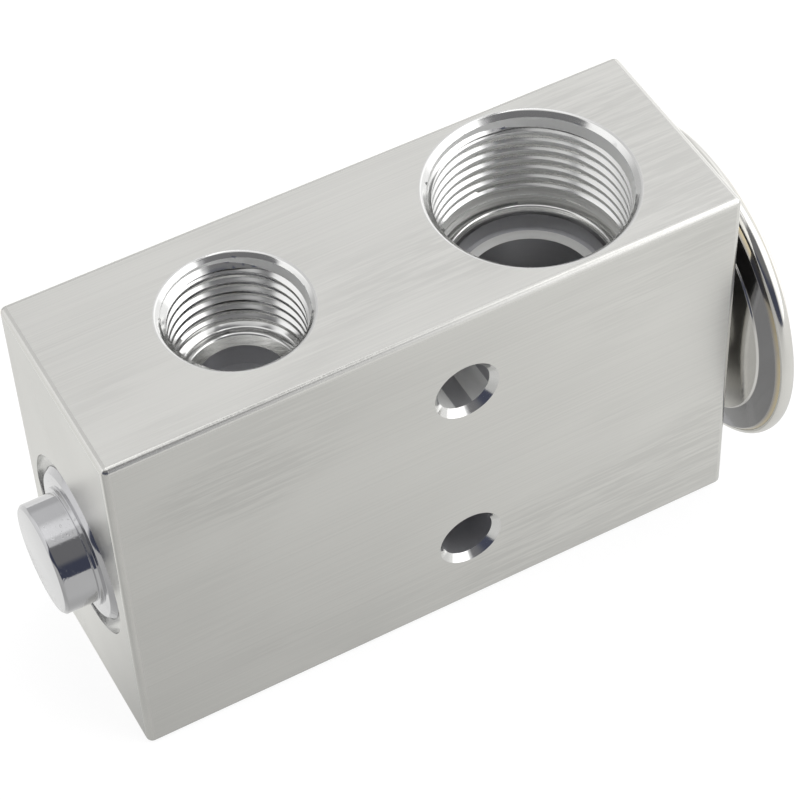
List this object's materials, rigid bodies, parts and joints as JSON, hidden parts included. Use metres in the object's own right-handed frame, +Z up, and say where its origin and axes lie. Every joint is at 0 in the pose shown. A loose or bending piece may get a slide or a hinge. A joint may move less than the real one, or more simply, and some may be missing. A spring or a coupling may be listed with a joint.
{
  "type": "refrigerant expansion valve",
  "caption": "Block expansion valve for a refrigerant circuit, with threaded ports, a closing plug and a round power head on its end.",
  "frame": {"origin": "on the block's bottom face, in the middle of its depth and in line with the mounting holes", "axes": "+X along the block towards the power head, +Y from the front face to the back face, +Z up out of the inlet port and the upper suction port"},
  "size_m": [0.0935, 0.0414, 0.0506],
  "materials": {
    "block_aluminium": "satin, brushed along the length",
    "plug_zinc": "zinc plated, turned",
    "ring_rubber": "matt black",
    "screw_brass": "turned",
    "spring_steel": "drawn wire",
    "carrier_brass": "turned",
    "damper_steel": "thin spring sheet",
    "ball_steel": "polished",
    "seat_steel": "turned stainless steel",
    "pin_steel": "ground",
    "rod_aluminium": "turned",
    "ring_rubber_rod": "matt black",
    "retainer_steel": "thin spring sheet",
    "head_steel": "turned stainless steel",
    "ring_rubber_head": "matt black",
    "pad_brass": "turned",
    "diaphragm_steel": "thin stainless sheet",
    "lid_steel": "pressed stainless steel",
    "weld_steel": "welded bead, straw tint",
    "charge_ball_steel": "welded ball"
  },
  "bodies": {
    "housing": {"valve_body": "block_aluminium", "end_plug": "plug_zinc", "plug_oring": "ring_rubber", "adjusting_screw": "screw_brass", "superheat_spring": "spring_steel", "valve_seat": "seat_steel", "rod_oring": "ring_rubber_rod", "seal_retainer": "retainer_steel", "head_base": "head_steel", "head_oring": "ring_rubber_head", "diaphragm": "diaphragm_steel", "head_lid": "lid_steel", "rim_weld": "weld_steel", "charge_plug": "charge_ball_steel"},
    "stem": {"sensing_rod": "rod_aluminium", "diaphragm_pad": "pad_brass", "push_pin": "pin_steel", "valve_ball": "ball_steel", "ball_carrier": "carrier_brass", "damper_spring": "damper_steel"}
  },
  "joints": [
    {"name": "valve_stroke", "type": "slide", "parent": "housing", "child": "stem", "axis": [-1, 0, 0], "range_m": [0, 0.0006], "stiffness_N_per_m": 12000, "deforming": ["superheat_spring"]}
  ]
}
